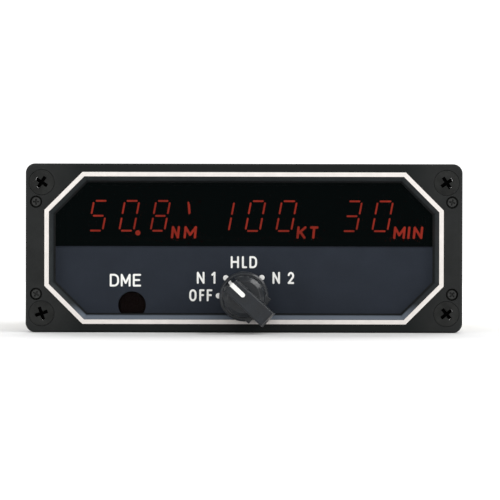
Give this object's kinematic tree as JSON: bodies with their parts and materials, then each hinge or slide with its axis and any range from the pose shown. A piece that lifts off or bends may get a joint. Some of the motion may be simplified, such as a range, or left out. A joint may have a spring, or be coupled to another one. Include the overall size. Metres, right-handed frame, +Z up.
{
  "type": "aircraft distance indicator",
  "caption": "Panel-mounted rectangular aviation distance indicator with an octagonal window, a bar-handled rotary function knob, corner mounting screws and a rear D-shaped connector.",
  "frame": {"origin": "centre of the four-screw mounting pattern, on the back face of the front plate, which rests on the instrument panel", "axes": "+X to the right as the pilot sees the front, +Z up, the front faces -Y and the case runs along +Y"},
  "size_m": [0.083, 0.0817, 0.032],
  "materials": {
    "bezel_black": "fine-grained matt black",
    "plate_black": "black anodised, satin",
    "gasket_rubber": "matt",
    "window_glass": "dark contrast filter, polished",
    "faceplate_slate": "matt dark slate paint",
    "screw_black": "black oxide, worn at the rim",
    "small_screw": "black oxide",
    "knob_black": "satin moulded",
    "set_screw": "plain",
    "shaft_steel": "turned",
    "rotor_nylon": "natural nylon",
    "contact_brass": "bright",
    "switch_plastic": "moulded phenolic",
    "bushing_brass": "nickel-plated, satin",
    "zinc_steel": "zinc-plated",
    "spring_steel": "plain",
    "filter_red": "dark red filter",
    "photocell_ceramic": "glazed top with a fine sensing track",
    "lamp_glass": "clear bulb in a base",
    "display_glass": "clear, sealed",
    "seal_frit": "fired glass frit",
    "display_ceramic": "black glazed",
    "tinned_metal": "tinned",
    "pad_foam": "black foam strip",
    "board_green": "solder-masked glass laminate",
    "chip_black": "moulded",
    "chip_ceramic": "grey ceramic package",
    "header_black": "moulded",
    "core_ferrite": "ferrite",
    "winding_tape": "yellow tape over copper wire",
    "capacitor_sleeve": "shrunk sleeve with an aluminium top",
    "rail_aluminium": "chromate-treated",
    "case_aluminium": "chromate-treated sheet",
    "data_foil": "satin foil, blank",
    "connector_steel": "tin-plated",
    "insulator_blue": "glass-filled",
    "contact_gold": "gold-flashed"
  },
  "bodies": {
    "indicator": {"bezel": "bezel_black", "front_plate": "plate_black", "window_gasket": "gasket_rubber", "display_window": "window_glass", "faceplate": "faceplate_slate", "mounting_screws": "screw_black", "bezel_screws": "small_screw", "switch_housing": "switch_plastic", "switch_bushing": "bushing_brass", "switch_lock_washer": "zinc_steel", "switch_nut": "zinc_steel", "detent_ball": "spring_steel", "detent_spring": "spring_steel", "switch_terminals": "tinned_metal", "switch_wafer": "switch_plastic", "photocell_filter": "filter_red", "photocell": "photocell_ceramic", "panel_lamps": "lamp_glass", "display_front_glass": "display_glass", "display_seal": "seal_frit", "display_substrate": "display_ceramic", "display_exhaust_stub": "display_glass", "display_leads": "tinned_metal", "display_pad": "pad_foam", "display_board": "board_green", "front_header_pins": "contact_gold", "driver_chips": "chip_black", "main_board": "board_green", "power_board": "board_green", "processor_chip": "chip_ceramic", "logic_chips": "chip_black", "chip_legs": "tinned_metal", "stack_header": "header_black", "front_headers": "header_black", "transformer_core": "core_ferrite", "transformer_winding": "winding_tape", "electrolytic_capacitors": "capacitor_sleeve", "stack_header_pins": "contact_gold", "right_rail": "rail_aluminium", "left_rail": "rail_aluminium", "top_cover": "case_aluminium", "bottom_cover": "case_aluminium", "rear_plate": "case_aluminium", "cover_screws": "zinc_steel", "rear_plate_screws": "zinc_steel", "rail_screws": "zinc_steel", "board_screws": "zinc_steel", "data_plate": "data_foil", "connector_shell": "connector_steel", "connector_insulator": "insulator_blue", "connector_contacts": "contact_gold", "jack_posts": "zinc_steel", "jack_post_nuts": "zinc_steel"},
    "knob": {"function_knob": "knob_black", "knob_set_screws": "set_screw", "switch_shaft": "shaft_steel", "switch_rotor": "rotor_nylon", "switch_wiper": "contact_brass"}
  },
  "joints": [
    {"name": "knob_turn", "type": "hinge", "parent": "indicator", "child": "knob", "pos_m": [0, -0.0097, -0.0091], "axis": [0, 1, 0], "range_deg": [-45, 90]}
  ]
}
